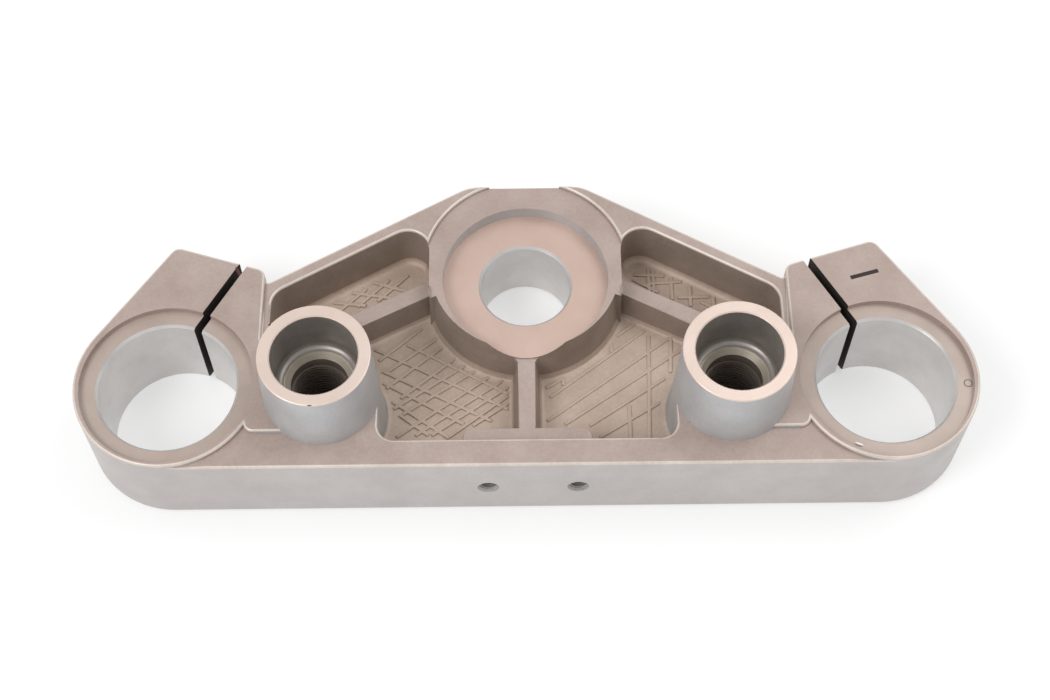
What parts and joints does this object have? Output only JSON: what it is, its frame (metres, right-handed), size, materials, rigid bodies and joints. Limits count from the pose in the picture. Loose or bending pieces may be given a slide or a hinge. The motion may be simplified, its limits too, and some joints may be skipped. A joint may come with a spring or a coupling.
{
  "type": "motorcycle triple clamp",
  "caption": "Flat yoke with two split fork clamps at its ends, a central steering stem bore, two tall handlebar bosses and ribbed pockets.",
  "frame": {"origin": "axis of the steering stem bore at the flat show face", "axes": "+X towards the fork clamp on the picture's right, +Y towards the rear of the motorcycle, +Z out of the ribbed side, away from the flat show face"},
  "size_m": [0.2676, 0.0966, 0.054],
  "materials": {
    "casting": "as cast, with machined bores and faces"
  },
  "bodies": {
    "root": {"triple_clamp": "casting"}
  },
  "joints": []
}
